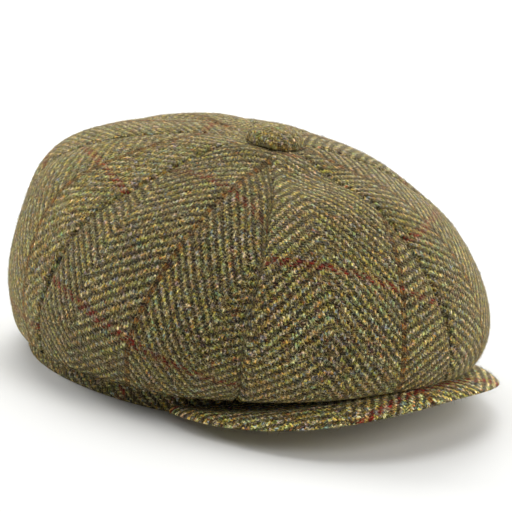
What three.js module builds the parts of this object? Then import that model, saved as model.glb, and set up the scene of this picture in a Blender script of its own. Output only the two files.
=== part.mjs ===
// An eight-panel cap in tweed: crown panels, covered button, headband and short peak.
// Millimetres, +Z up. The front is -Y and the wearer's left is +X.
// The origin is the centre of the head opening, on the plane that the headband's rim rests on.
import * as THREE from "three";
import { mergeVertices } from "three/addons/utils/BufferGeometryUtils.js";

// Headband: an oval of folded cloth round a head of about 57 cm
const BAND_LENGTH = 202; // outside, front to back
const BAND_WIDTH = 168; // outside, side to side
const BAND_HEIGHT = 21;
const BAND_WALL = 2.6;
const FRONT_LIFT = 16; // the forehead's part of the rim stands on the peak, off the surface
const LIFT_TOP_ANGLE = 8; // degrees to each side of the front with the whole lift
const LIFT_HALF_ANGLE = 70; // degrees to each side of the front where the rim meets the surface

// Crown: the cloth's outer face
const CROWN_HEIGHT = 122; // under the button, above the rim
const FRONT_OVERHANG = 45; // past the headband's outside
const BACK_OVERHANG = 7;
const SIDE_OVERHANG = 25;
const CLOTH = 2;
const PUFF = 3.6; // how far the middle of a panel swells beyond its seams
const PUFF_FLATNESS = 2.4; // 2 makes a panel's swelling a parabola, more makes it flatter
const DENT = 3; // the unit of the dents and swellings listed below
const SEAM_GAP = 0.5; // between neighbouring panels, at their outer face
const SEAM_BEVEL = 0.25; // the panels' edges draw apart by this share of the depth into the cloth
const APEX_RADIUS = 3.4; // where the panels' points meet under the button
const SEAM_LAP = 2; // the crown's edge ends this far below the headband's upper edge

// Button: a cloth-covered dome on the crown
const BUTTON_FORWARD = 28; // its axis is this far ahead of the origin
const BUTTON_DIAMETER = 28;
const BUTTON_HEIGHT = 8.5;

// Peak: one board covered in cloth, butted to the headband's front
const PEAK_LENGTH = 55; // past the headband's outside, at the centre
const PEAK_WIDTH = 184;
const PEAK_THICKNESS = 4;
const PEAK_HALF_ANGLE = 64; // degrees of the headband that it is sewn to, on each side
const PEAK_ARCH = 18; // how much the front edge's centre stands above its corners
const PEAK_CORNER = 7; // height of the corners' middle
const PEAK_CROWN = 3; // how far the board bulges upwards between its root and its front edge
const EDGE_FULLNESS = 0.86; // 1 makes the front edge an ellipse, less squares its corners
const PEAK_TIP = 4; // width of the peak where it runs out at each end
const TIP_START = 0.8; // share of the half width where the front edge starts back to the headband
const PEAK_ROOT = 2.4; // how far its inner edge's middle stands above the rim

const CLEARANCE = 0.4; // between pieces that are sewn together

// Level sections through the crown, from its apex to the seam that joins it to the headband.
// along: share of the way down a panel. middle: where the section is widest, as a share of the
// headband's half length (minus is forward). front, back and side: reach, where 0 is the button's
// axis, 1 the headband's outside and 2 the whole overhang. The heights run from 0, BAND_HEIGHT above
// the rim, to 1, the crown's whole height.
const SECTIONS = [
  { along: 0.2, middle: -0.15, front: 0.46, back: 0.38, side: 0.38,
    frontHigh: 0.934, sideHigh: 0.973, backHigh: 0.982 },
  { along: 0.42, middle: -0.12, front: 1, back: 0.77, side: 0.79,
    frontHigh: 0.819, sideHigh: 0.837, backHigh: 0.855 },
  { along: 0.62, middle: -0.14, front: 1.68, back: 0.99, side: 1.32,
    frontHigh: 0.589, sideHigh: 0.626, backHigh: 0.674 },
  { along: 0.8, middle: -0.12, front: 2.04, back: 1.5, side: 2,
    frontHigh: 0.299, sideHigh: 0.239, backHigh: 0.299 },
  { along: 0.9, middle: -0.07, front: 2.02, back: 1.95, side: 1.8,
    frontHigh: 0.136, sideHigh: 0.034, backHigh: 0.064 },
  { along: 0.94, middle: -0.04, front: 1.9, back: 2, side: 1.6,
    frontHigh: 0.082, sideHigh: -0.057, backHigh: -0.045 },
  { along: 0.97, middle: -0.01, front: 1.62, back: 1.6, side: 1.34,
    frontHigh: 0.07, sideHigh: -0.081, backHigh: -0.075 },
];

// Seams between the panels, in turn round the crown from the front towards the wearer's left.
// angle: degrees from the front. drift: degrees that the seam's lower end has slipped round.
const SEAMS = [
  { angle: -2, drift: 4 },
  { angle: 45, drift: 1 },
  { angle: 90, drift: 2 },
  { angle: 135, drift: 0 },
  { angle: 180, drift: 0 },
  { angle: 225, drift: -8 },
  { angle: 270, drift: -16 },
  { angle: 315, drift: -7 },
];
const PANEL_NAMES = [
  "crown_panel_front_left",
  "crown_panel_left_front",
  "crown_panel_left_back",
  "crown_panel_back_left",
  "crown_panel_back_right",
  "crown_panel_right_back",
  "crown_panel_right_front",
  "crown_panel_front_right",
];

// Dents and swellings. angle and spread are degrees round the crown, along and run are shares of
// the way down a panel, and depth is a share of DENT (minus swells outwards).
const DENTS = [
  { angle: -45, spread: 55, along: 0.24, run: 0.09, depth: 0.8 },
  { angle: -95, spread: 16, along: 0.42, run: 0.16, depth: 0.7 },
  { angle: -14, spread: 12, along: 0.68, run: 0.14, depth: 0.8 },
  { angle: -72, spread: 10, along: 0.72, run: 0.16, depth: 0.6 },
  { angle: 25, spread: 13, along: 0.6, run: 0.2, depth: 0.8 },
  { angle: 160, spread: 30, along: 0.3, run: 0.12, depth: -0.4 },
  { angle: 200, spread: 25, along: 0.55, run: 0.15, depth: 0.7 },
  { angle: 110, spread: 22, along: 0.5, run: 0.18, depth: 0.6 },
  { angle: 212, spread: 42, along: 0.55, run: 0.24, depth: -1.5 },
  { angle: 60, spread: 16, along: 0.53, run: 0.11, depth: 0.8 },
  { angle: 34, spread: 12, along: 0.78, run: 0.09, depth: 0.3 },
  { angle: 110, spread: 34, along: 0.26, run: 0.1, depth: -0.4 },
];

const NORMAL_STEP = 0.004; // of the angle and of the way down
const TUCK_START = 0.97; // share of the way down where the cloth turns up to its seam

const turn = THREE.MathUtils.degToRad;
const smooth = THREE.MathUtils.smoothstep;
const mix = THREE.MathUtils.lerp;

const bandHalfLength = BAND_LENGTH / 2;
const bandHalfWidth = BAND_WIDTH / 2;
const buttonY = -BUTTON_FORWARD;

// Height of the headband's rim at an angle from the front.
function rimHeight(angle) {
  const fromFront = Math.abs(Math.atan2(Math.sin(angle), Math.cos(angle)));
  return FRONT_LIFT * (1 - smooth(fromFront, turn(LIFT_TOP_ANGLE), turn(LIFT_HALF_ANGLE)));
}

// Height of the seam between the headband and the crown.
function seamHeight(angle) {
  return rimHeight(angle) + BAND_HEIGHT - SEAM_LAP;
}

// A point at a distance outside the headband's outer face.
function besideBand(angle, outside, height) {
  const x = (bandHalfWidth + outside) * Math.sin(angle);
  const y = -(bandHalfLength + outside) * Math.cos(angle);
  return new THREE.Vector3(x, y, height);
}

// Reach from the button's axis: 1 is the headband's outside and 2 the whole overhang.
function reach(share, inner, overhang) {
  return share < 1 ? share * inner : inner + (share - 1) * overhang;
}

function crownLevel(share) {
  return mix(BAND_HEIGHT, CROWN_HEIGHT, share);
}

// Each section as lengths: where it is widest, its front, back and side reach, and its heights.
function sectionLengths() {
  const apex = [
    0,
    buttonY,
    APEX_RADIUS,
    APEX_RADIUS,
    APEX_RADIUS,
    CROWN_HEIGHT,
    CROWN_HEIGHT,
    CROWN_HEIGHT,
  ];
  const between = SECTIONS.map((row) => {
    const middle = row.middle * bandHalfLength;
    const front = reach(row.front, bandHalfLength - BUTTON_FORWARD, FRONT_OVERHANG);
    const back = reach(row.back, bandHalfLength + BUTTON_FORWARD, BACK_OVERHANG);
    return [
      row.along,
      middle,
      front + BUTTON_FORWARD + middle,
      back - BUTTON_FORWARD - middle,
      reach(row.side, bandHalfWidth, SIDE_OVERHANG),
      crownLevel(row.frontHigh),
      crownLevel(row.sideHigh),
      crownLevel(row.backHigh),
    ];
  });
  const seam = [
    1,
    0,
    bandHalfLength + CLEARANCE,
    bandHalfLength + CLEARANCE,
    bandHalfWidth + CLEARANCE,
    seamHeight(0),
    seamHeight(Math.PI),
    seamHeight(Math.PI),
  ];
  return [apex, ...between, seam];
}

const lengths = sectionLengths();
const sectionCurve = new THREE.CubicInterpolant(
  lengths.map((row) => row[0]),
  lengths.flatMap((row) => row.slice(1)),
  lengths[0].length - 1,
);

// The crown's plain outer surface, without puff or dents.
function plainCrown(angle, along) {
  const [middle, front, back, side, frontHigh, sideHigh, backHigh] = sectionCurve.evaluate(along);
  const forward = Math.cos(angle);
  const length = forward > 0 ? front : back;
  const high = forward > 0 ? frontHigh : backHigh;
  const x = side * Math.sin(angle);
  const y = middle - length * forward;
  const level = mix(sideHigh, high, forward * forward);
  const z = mix(level, seamHeight(angle), smooth(along, TUCK_START, 1));
  return new THREE.Vector3(x, y, z);
}

// Outward normal of the plain surface, from two small steps on it.
function crownNormal(angle, along) {
  const low = Math.max(along - NORMAL_STEP, 0);
  const high = Math.min(along + NORMAL_STEP, 1);
  const ahead = plainCrown(angle + NORMAL_STEP, along);
  const around = ahead.sub(plainCrown(angle - NORMAL_STEP, along));
  const down = plainCrown(angle, high).sub(plainCrown(angle, low));
  return down.cross(around).normalize();
}

function seamAngle(index, along) {
  const row = SEAMS[index % SEAMS.length];
  const turns = Math.floor(index / SEAMS.length) * 360;
  return turn(row.angle + turns + row.drift * smooth(along, 0.2, 0.85));
}

function dentDepth(angle, along) {
  let depth = 0;
  for (const row of DENTS) {
    const aside = angle - turn(row.angle);
    const wrapped = Math.atan2(Math.sin(aside), Math.cos(aside)) / turn(row.spread);
    const down = (along - row.along) / row.run;
    depth += row.depth * DENT * Math.exp(-wrapped * wrapped - down * down);
  }
  return depth * smooth(along, 0.06, 0.2) * smooth(1 - along, 0.02, 0.12);
}

// How far the middle of a panel swells: nothing at its two ends.
function swelling(along) {
  return PUFF * Math.max(Math.sin(Math.PI * along ** 0.8), 0) ** 0.7;
}

// A point on a panel: across runs from its first seam to its second, and deep is into the cloth.
function crownPoint(panel, across, along, deep) {
  const first = seamAngle(panel, along);
  const second = seamAngle(panel + 1, along);
  const middle = plainCrown((first + second) / 2, along);
  const radius = Math.hypot(middle.x, middle.y - buttonY);
  const gap = (SEAM_GAP / 2 + SEAM_BEVEL * deep) / radius;
  const angle = mix(first + gap, second - gap, across);
  const puff = swelling(along) * (1 - Math.abs(2 * across - 1) ** PUFF_FLATNESS);
  const out = puff - dentDepth(angle, along) - deep;
  return plainCrown(angle, along).addScaledVector(crownNormal(angle, along), out);
}

// Moves each vertex of a closed geometry by a function of its place.
function reshape(geometry, place) {
  geometry.deleteAttribute("normal");
  geometry.deleteAttribute("uv");
  const closed = mergeVertices(geometry, 1e-4);
  const position = closed.getAttribute("position");
  const corner = new THREE.Vector3();
  for (let i = 0; i < position.count; i++) {
    corner.fromBufferAttribute(position, i);
    const moved = place(corner);
    position.setXYZ(i, moved.x, moved.y, moved.z);
  }
  closed.computeVertexNormals();
  return closed;
}

const tweed = { roughness: 0.95, metalness: 0 };
const materials = {
  panel: { color: 0x6b6142, ...tweed },
  paler: { color: 0x7a7050, ...tweed },
  band: { color: 0x5a4f38, ...tweed },
  peak: { color: 0x655a40, ...tweed },
  button: { color: 0x5e5334, ...tweed },
};

function piece(name, geometry, look) {
  const mesh = new THREE.Mesh(geometry, new THREE.MeshStandardMaterial(look));
  mesh.name = name;
  return mesh;
}

const PANEL_STEPS_ACROSS = 9;
const PANEL_STEPS_DOWN = 26;
const LOWER_CROWDING = 1.6; // over 1 sets the steps closer towards the fold at the lower edge

function crownPanel(index) {
  const slab = new THREE.BoxGeometry(1, 1, 1, PANEL_STEPS_ACROSS, PANEL_STEPS_DOWN, 1);
  const shape = reshape(slab, (corner) => {
    const deep = (corner.z + 0.5) * CLOTH;
    const along = 1 - (0.5 - corner.y) ** LOWER_CROWDING;
    return crownPoint(index, corner.x + 0.5, along, deep);
  });
  return piece(PANEL_NAMES[index], shape, index % 2 ? materials.paler : materials.panel);
}

// A ring of rectangular section, bent into the head's oval with its front lifted.
function headband() {
  const levels = 2;
  const profile = [];
  for (let i = 0; i <= levels; i++) {
    profile.push(new THREE.Vector2(2, i / levels));
  }
  for (let i = levels; i >= 0; i--) {
    profile.push(new THREE.Vector2(1, i / levels));
  }
  profile.push(profile[0].clone());
  const ring = new THREE.LatheGeometry(profile, 72);
  const shape = reshape(ring, (corner) => {
    const radius = Math.hypot(corner.x, corner.z);
    const angle = Math.atan2(corner.x, corner.z);
    const inside = (radius - 2) * BAND_WALL;
    return besideBand(angle, inside, rimHeight(angle) + corner.y * BAND_HEIGHT);
  });
  return piece("headband", shape, materials.band);
}

// The peak's front edge, seen from above: a squarish curve between the two ends of its root.
function peakEdge(side) {
  const bend = side * Math.PI / 2;
  const x = Math.sign(side) * PEAK_WIDTH / 2 * Math.abs(Math.sin(bend)) ** EDGE_FULLNESS;
  const rootEnd = besideBand(turn(PEAK_HALF_ANGLE), CLEARANCE, 0);
  const deepest = bandHalfLength + PEAK_LENGTH + rootEnd.y;
  const y = rootEnd.y - deepest * Math.cos(bend) ** EDGE_FULLNESS;
  const z = PEAK_CORNER + PEAK_ARCH * (1 - (2 * x / PEAK_WIDTH) ** 2);
  const tipAngle = turn(PEAK_HALF_ANGLE) * Math.sign(side);
  const tip = besideBand(tipAngle, PEAK_TIP, rimHeight(tipAngle) + PEAK_ROOT);
  return new THREE.Vector3(x, y, z).lerp(tip, smooth(Math.abs(side), TIP_START, 1));
}

function peak() {
  const board = new THREE.BoxGeometry(1, 1, 1, 40, 8, 2);
  const shape = reshape(board, (corner) => {
    const side = -2 * corner.x;
    const rootAngle = turn(PEAK_HALF_ANGLE) * side;
    const root = besideBand(rootAngle, CLEARANCE, rimHeight(rootAngle) + PEAK_ROOT);
    const edge = peakEdge(side);
    const out = corner.y + 0.5;
    const point = root.clone().lerp(edge, out);
    point.z += PEAK_CROWN * Math.sin(Math.PI * out) * (1 - side * side);
    const rounding = Math.sqrt(1 - smooth(out, 0.9, 1.02) ** 2);
    point.z += corner.z * PEAK_THICKNESS * rounding;
    return point;
  });
  return piece("peak", shape, materials.peak);
}

const BUTTON_SIDES = 32;

// A dome whose underside follows the crown, so that it sits on the panels' points.
function topButton() {
  const half = BUTTON_DIAMETER / 2;
  const profile = [
    new THREE.Vector2(0, 0),
    new THREE.Vector2(0.4, 0),
    new THREE.Vector2(0.8, 0),
    new THREE.Vector2(0.97, 0.1),
    new THREE.Vector2(1, 0.26),
    new THREE.Vector2(0.95, 0.5),
    new THREE.Vector2(0.82, 0.74),
    new THREE.Vector2(0.6, 0.91),
    new THREE.Vector2(0.3, 0.985),
    new THREE.Vector2(0, 1),
  ];
  const dome = new THREE.LatheGeometry(profile, BUTTON_SIDES);
  const shape = reshape(dome, (corner) => {
    const x = corner.x * half;
    const y = buttonY - corner.z * half;
    return new THREE.Vector3(x, y, seatHeight(x, y) + CLEARANCE + corner.y * BUTTON_HEIGHT);
  });
  return piece("top_button", shape, materials.button);
}

// Height of the crown's highest cloth at a place under the button.
function seatHeight(x, y) {
  const angle = Math.atan2(x, buttonY - y);
  const radius = Math.hypot(x, y - buttonY);
  let near = 0;
  let far = 0.3;
  for (let i = 0; i < 24; i++) {
    const middle = (near + far) / 2;
    const point = plainCrown(angle, middle);
    if (Math.hypot(point.x, point.y - buttonY) < radius) near = middle;
    else far = middle;
  }
  return plainCrown(angle, near).z + swelling(near);
}

const cap = new THREE.Group();
PANEL_NAMES.forEach((name, index) => cap.add(crownPanel(index)));
cap.add(headband());
cap.add(topButton());
cap.add(peak());

export default cap;
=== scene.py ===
import math

import bmesh
import bpy
import numpy as np
from mathutils import Matrix, Vector, noise


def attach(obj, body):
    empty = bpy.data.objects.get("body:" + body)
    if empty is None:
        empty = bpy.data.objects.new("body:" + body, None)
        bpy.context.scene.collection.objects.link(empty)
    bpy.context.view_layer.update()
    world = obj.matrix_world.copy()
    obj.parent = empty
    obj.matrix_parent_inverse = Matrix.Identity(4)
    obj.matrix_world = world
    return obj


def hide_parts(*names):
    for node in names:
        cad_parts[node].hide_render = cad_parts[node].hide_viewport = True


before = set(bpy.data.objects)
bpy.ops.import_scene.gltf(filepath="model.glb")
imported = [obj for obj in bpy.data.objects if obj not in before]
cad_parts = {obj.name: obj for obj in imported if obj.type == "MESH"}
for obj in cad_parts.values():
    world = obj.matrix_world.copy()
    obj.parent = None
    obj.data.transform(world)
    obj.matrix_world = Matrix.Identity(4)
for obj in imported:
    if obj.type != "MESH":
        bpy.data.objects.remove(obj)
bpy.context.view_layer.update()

MM = 0.001

# The cap's own sizes, as in its solids
BAND_HALF_LENGTH = 101.0
BAND_HALF_WIDTH = 84.0
BAND_HEIGHT = 21.0
BAND_WALL = 2.6
FRONT_LIFT = 16.0
LIFT_TOP_ANGLE = 8.0
LIFT_HALF_ANGLE = 70.0
CROWN_HEIGHT = 122.0
FRONT_OVERHANG = 45.0
BACK_OVERHANG = 7.0
SIDE_OVERHANG = 25.0
CLOTH = 2.0
PUFF = 3.6
PUFF_FLATNESS = 2.4
DENT = 3.0
APEX_RADIUS = 3.4
SEAM_LAP = 2.0
BUTTON_Y = -28.0
BUTTON_DIAMETER = 28.0
BUTTON_HEIGHT = 8.5
PEAK_LENGTH = 55.0
PEAK_WIDTH = 184.0
PEAK_THICKNESS = 4.0
PEAK_HALF_ANGLE = 64.0
PEAK_ARCH = 18.0
PEAK_CORNER = 7.0
PEAK_CROWN = 3.0
EDGE_FULLNESS = 0.86
PEAK_TIP = 4.0
TIP_START = 0.8
PEAK_ROOT = 2.4
CLEARANCE = 0.4

# Level sections of the crown: share of the way down a panel, middle, front, back and side reach,
# then the heights at the front, sides and back.
SECTIONS = [
    (0.2, -0.15, 0.46, 0.38, 0.38, 0.934, 0.973, 0.982),
    (0.42, -0.12, 1.0, 0.77, 0.79, 0.819, 0.837, 0.855),
    (0.62, -0.14, 1.68, 0.99, 1.32, 0.589, 0.626, 0.674),
    (0.8, -0.12, 2.04, 1.5, 2.0, 0.299, 0.239, 0.299),
    (0.9, -0.07, 2.02, 1.95, 1.8, 0.136, 0.034, 0.064),
    (0.94, -0.04, 1.9, 2.0, 1.6, 0.082, -0.057, -0.045),
    (0.97, -0.01, 1.62, 1.6, 1.34, 0.07, -0.081, -0.075),
]

# Seams round the crown: degrees from the front, and how far the lower end has slipped round.
SEAMS = [(-2, 4), (45, 1), (90, 2), (135, 0), (180, 0), (225, -8), (270, -16), (315, -7)]
SLIP_START, SLIP_END = 0.2, 0.85  # shares of the way down between which they slip

# Each panel's cloth. axis: where a chevron's spine crosses the panel's middle line, in mm across.
# check: how far down the red line crosses it. The two leans are the cloth's slant on the panel.
# The last entry picks the copy of the cloth that the panel takes: a paler one with softer stripes
# as painted light, or a darker one as painted shade; plain where none is given.
PANELS = {
    "front_left": {"axis": -7.0, "check": 89.5, "weft_lean": 0.0, "warp_lean": 0.1},
    "left_front": {"axis": 6.0, "check": 64.0, "weft_lean": 0.0, "warp_lean": 0.0},
    "left_back": {"axis": -11.0, "check": 116.0, "weft_lean": -0.05, "warp_lean": 0.03},
    "back_left": {"axis": 9.0, "check": 84.0, "weft_lean": 0.06, "warp_lean": 0.0,
                  "lighting_copy": "painted_light"},
    "back_right": {"axis": -7.0, "check": 131.0, "weft_lean": -0.04, "warp_lean": 0.02,
                   "lighting_copy": "painted_light"},
    "right_back": {"axis": 6.0, "check": 88.0, "weft_lean": 0.05, "warp_lean": -0.2,
                   "lighting_copy": "painted_light"},
    "right_front": {"axis": -104.0, "check": 149.5, "weft_lean": 0.33, "warp_lean": 0.055,
                    "lighting_copy": "painted_shade"},
    "front_right": {"axis": 25.0, "check": 110.5, "weft_lean": 0.25, "warp_lean": 0.06},
}

# Dents of the crown: angle, spread (degrees), place and run down the panel, depth.
DENTS = [
    (-45, 55, 0.24, 0.09, 0.8),
    (-95, 16, 0.42, 0.16, 0.7),
    (-14, 12, 0.68, 0.14, 0.8),
    (-72, 10, 0.72, 0.16, 0.6),
    (25, 13, 0.6, 0.2, 0.8),
    (160, 30, 0.3, 0.12, -0.4),
    (200, 25, 0.55, 0.15, 0.7),
    (110, 22, 0.5, 0.18, 0.6),
    (212, 42, 0.55, 0.24, -1.5),
    (60, 16, 0.53, 0.11, 0.8),
    (34, 12, 0.78, 0.09, 0.3),
    (110, 34, 0.26, 0.1, -0.4),
]


def smooth_step(value, low, high):
    share = np.clip((value - low) / (high - low), 0, 1)
    return share * share * (3 - 2 * share)


def rim_height(angle):
    """The headband's lower edge lifts off the floor at the front."""
    from_front = np.abs(np.arctan2(np.sin(angle), np.cos(angle)))
    lift = smooth_step(from_front, math.radians(LIFT_TOP_ANGLE), math.radians(LIFT_HALF_ANGLE))
    return FRONT_LIFT * (1 - lift)


def seam_height(angle):
    """Where the crown is sewn to the headband."""
    return rim_height(angle) + BAND_HEIGHT - SEAM_LAP


def beside_band(angle, outside, height):
    """A place round the headband, at a distance out from its outer face."""
    x = (BAND_HALF_WIDTH + outside) * np.sin(angle)
    y = -(BAND_HALF_LENGTH + outside) * np.cos(angle)
    return np.stack(np.broadcast_arrays(x, y, height), -1)


def reach(share, inner, overhang):
    """Up to 1 a share of the way to the headband, and past 1 a share of the overhang."""
    return share * inner if share < 1 else inner + (share - 1) * overhang


def section_lengths():
    """The table of sections in mm, with the point under the button and the seam at the band."""
    rows = [(0, BUTTON_Y, APEX_RADIUS, APEX_RADIUS, APEX_RADIUS) + (CROWN_HEIGHT,) * 3]
    for along, middle, front, back, side, *levels in SECTIONS:
        centre = middle * BAND_HALF_LENGTH
        ahead = reach(front, BAND_HALF_LENGTH + BUTTON_Y, FRONT_OVERHANG) - BUTTON_Y + centre
        behind = reach(back, BAND_HALF_LENGTH - BUTTON_Y, BACK_OVERHANG) + BUTTON_Y - centre
        aside = reach(side, BAND_HALF_WIDTH, SIDE_OVERHANG)
        heights = [BAND_HEIGHT + (CROWN_HEIGHT - BAND_HEIGHT) * level for level in levels]
        rows.append((along, centre, ahead, behind, aside, *heights))
    round_band = (BAND_HALF_LENGTH + CLEARANCE,) * 2 + (BAND_HALF_WIDTH + CLEARANCE,)
    low = seam_height(np.array([0.0, math.pi, math.pi]))
    rows.append((1, 0, *round_band, *low))
    return np.array(rows, float)


LENGTHS = section_lengths()


def section(along):
    """The sections' lengths at a share of the way down, on a smooth curve through the table."""
    places, values = LENGTHS[:, 0], LENGTHS[:, 1:]
    last = len(places) - 1
    after = np.clip(np.searchsorted(places, along, side="right"), 1, last)
    before = after - 1
    earlier = np.where(before > 0, before - 1, after)
    later = np.where(after < last, np.minimum(after + 1, last), before)
    low, high = places[before], places[after]
    half = (high - low) / 2
    ease_in = half / (low - places[earlier])
    ease_out = half / (places[later] - high)
    t = (along - low) / (high - low)
    weights = (
        -ease_in * t**3 + 2 * ease_in * t**2 - ease_in * t,
        (1 + ease_in) * t**3 - (1.5 + 2 * ease_in) * t**2 + (ease_in - 0.5) * t + 1,
        -(1 + ease_out) * t**3 + (1.5 + ease_out) * t**2 + 0.5 * t,
        ease_out * t**3 - ease_out * t**2,
    )
    rows = (earlier, before, after, later)
    return sum(weight[..., None] * values[row] for weight, row in zip(weights, rows))


TUCK_START = 0.97  # from here down the cloth turns in to the headband


def plain_crown(angle, along):
    """The crown's main form, without its puffs and dents."""
    angle, along = np.broadcast_arrays(angle, along)
    lengths = np.moveaxis(section(along), -1, 0)
    middle, front, back, side, front_high, side_high, back_high = lengths
    forward = np.cos(angle)
    length = np.where(forward > 0, front, back)
    high = np.where(forward > 0, front_high, back_high)
    level = side_high + (high - side_high) * forward**2
    tuck = smooth_step(along, TUCK_START, 1)
    z = level + (seam_height(angle) - level) * tuck
    return np.stack([side * np.sin(angle), middle - length * forward, z], -1)


def crown_normal(angle, along, step=0.004):
    around = plain_crown(angle + step, along) - plain_crown(angle - step, along)
    low, high = np.maximum(along - step, 0), np.minimum(along + step, 1)
    down = plain_crown(angle, high) - plain_crown(angle, low)
    normal = np.cross(down, around)
    return normal / np.linalg.norm(normal, axis=-1, keepdims=True)


def seam_angle(index, along):
    angle, slip = SEAMS[index % len(SEAMS)]
    turns = index // len(SEAMS) * 360
    return np.radians(angle + turns + slip * smooth_step(along, SLIP_START, SLIP_END))


DENT_FADES = (0.06, 0.2), (0.02, 0.12)  # shares of the way from the button, and from the headband


def dent_depth(angle, along):
    """How far the dents sink the cloth. They fade out at the button and at the headband."""
    depth = np.zeros_like(angle)
    for place, spread, down, run, share in DENTS:
        aside = angle - math.radians(place)
        aside = np.arctan2(np.sin(aside), np.cos(aside)) / math.radians(spread)
        depth += share * DENT * np.exp(-(aside**2) - ((along - down) / run) ** 2)
    from_button, from_band = DENT_FADES
    return depth * smooth_step(along, *from_button) * smooth_step(1 - along, *from_band)


SWELLING_PLACE = 0.8  # below 1, a panel is fullest above its middle
SWELLING_FULLNESS = 0.7


def swelling(along):
    """How full a panel is between its seams."""
    rise = np.sin(math.pi * along**SWELLING_PLACE)
    return PUFF * np.maximum(rise, 0) ** SWELLING_FULLNESS


# The cloth's own relief, which the solids leave out
MEAN_FULLNESS = 0.7  # share of the swelling that a whole panel has
ROUNDNESS_ABOVE = 0.2  # share of it that rounds a panel between its seams, near the button
ROUNDNESS_ADDED = 0.65  # and what is added to that lower down
ROUNDNESS_GROWS = (0.15, 0.7)  # between these shares of the way down
RELIEF_GROWS = (0.05, 0.3)
PUCKERS_GROW = (0.1, 0.25)
LEAST_WIDTH = 0.5  # of a panel, at its point
SEAM_DROP = 1.8  # the seam lies this far under the cloth beside it
SEAM_ROUNDING = 1.1  # width over which the cloth rolls down into the seam
PUCKER = 0.35  # ripples that the stitches draw beside a seam
PUCKER_SIZE = 6.5
PUCKER_PLACE = 3.5  # from the seam
PUCKER_SPREAD = 14.0  # of the puckered strip, in square mm
SLACK = 1.1  # soft waves of the whole crown
SLACK_SIZE = 34.0
DIMPLE = 0.8  # the button's thread pulls the middle down
DIMPLE_RADIUS = 17.0


def ripples(points, size):
    """Smooth noise at each point, with waves of the given size in mm."""
    flat = [noise.noise(Vector(point) / size) for point in points.reshape(-1, 3)]
    return np.array(flat).reshape(points.shape[:-1])


def panel_points(index, across, along):
    """The outer face of a crown panel with its seams, puckers and soft waves."""
    first, second = seam_angle(index, along), seam_angle(index + 1, along)
    angle = first + (second - first) * across
    middle = plain_crown((first + second) / 2, along)
    radius = np.hypot(middle[..., 0], middle[..., 1] - BUTTON_Y)
    width = np.maximum(radius * (second - first), LEAST_WIDTH)
    aside = np.minimum(across, 1 - across) * width
    plain = plain_crown(angle, along)
    lobe = 1 - np.abs(2 * across - 1) ** PUFF_FLATNESS - MEAN_FULLNESS
    roundness = ROUNDNESS_ABOVE + ROUNDNESS_ADDED * smooth_step(along, *ROUNDNESS_GROWS)
    puff = swelling(along) * (MEAN_FULLNESS + lobe * roundness)
    growing = smooth_step(along, *RELIEF_GROWS)
    drop = SEAM_DROP * np.exp(-((aside / SEAM_ROUNDING) ** 2)) * growing
    waves = ripples(plain, SLACK_SIZE)
    puckers = ripples(plain, PUCKER_SIZE)
    beside_seam = np.exp(-((aside - PUCKER_PLACE) ** 2) / PUCKER_SPREAD)
    beside_seam = beside_seam * smooth_step(along, *PUCKERS_GROW)
    near_button = np.exp(-((radius / DIMPLE_RADIUS) ** 4))
    out = puff - dent_depth(angle, along) - drop
    out += SLACK * waves * growing + PUCKER * puckers * beside_seam
    out -= DIMPLE * near_button
    return plain + crown_normal(angle, along) * out[..., None]


EVENING_ROWS = 15  # rows over which a panel's bend is evened out, when it is laid flat
LEAST_BEND, MOST_BEND = -0.004, 0.04  # to the mm


def flattened(points):
    """Lays a panel flat: mm across and down from its middle line, its width and length by rows."""
    middle = points.shape[1] // 2
    steps = np.linalg.norm(np.diff(points[:, middle], axis=0), axis=-1)
    down = np.concatenate([[0], np.cumsum(steps)]) + APEX_RADIUS
    across = np.cumsum(np.linalg.norm(np.diff(points, axis=1), axis=-1), axis=1)
    across = np.concatenate([np.zeros((len(points), 1)), across], axis=1)
    width = across[:, -1].copy()
    across -= across[:, middle : middle + 1]
    bend = np.gradient(width, down) / width
    window = np.hanning(EVENING_ROWS) / np.hanning(EVENING_ROWS).sum()
    bend = np.convolve(np.pad(bend, EVENING_ROWS // 2, mode="edge"), window, mode="valid")
    bend = np.minimum(np.clip(bend, LEAST_BEND, MOST_BEND), 1 / np.maximum(down, 1))[:, None]
    flat_across = across * (1 - (bend * across) ** 2 / 6)
    flat_down = down[:, None] - bend * across**2 / 2
    return flat_across, flat_down, width, down


def linear(hex_colour):
    """An sRGB hex colour as linear RGBA."""
    parts = [int(hex_colour[i : i + 2], 16) / 255 for i in (1, 3, 5)]
    return [c / 12.92 if c <= 0.04045 else ((c + 0.055) / 1.055) ** 2.4 for c in parts] + [1.0]


MATH = "ShaderNodeMath"
VECTOR = "ShaderNodeVectorMath"
MIX = "ShaderNodeMix"
SPREAD = "ShaderNodeMapRange"
NOISE = "ShaderNodeTexNoise"
CELLS = "ShaderNodeTexVoronoi"
RAMP = "ShaderNodeValToRGB"
PRINCIPLED = "ShaderNodeBsdfPrincipled"


def add_node(tree, kind, inputs=None, stops=(), **settings):
    """Adds one node with its settings and its colour stops, and sets or links its inputs. A node
    that is given as an input is linked from its first output."""
    node = tree.nodes.new(kind)
    for name, value in settings.items():
        setattr(node, name, value)
    for key, value in (inputs or {}).items():
        if isinstance(value, bpy.types.Node):
            value = value.outputs[0]
        if isinstance(value, bpy.types.NodeSocket):
            tree.links.new(value, node.inputs[key])
        else:
            node.inputs[key].default_value = value
    if stops:
        node.color_ramp.interpolation = "CONSTANT"
        elements = node.color_ramp.elements
        while len(elements) < len(stops):
            elements.new(0.5)
        for element, (place, colour) in zip(elements, stops):
            element.position = place
            element.color = linear(colour)
    return node


def bare_material(name):
    material = bpy.data.materials.new(name)
    material.use_nodes = True
    material.node_tree.nodes.clear()
    return material, material.node_tree


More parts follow.
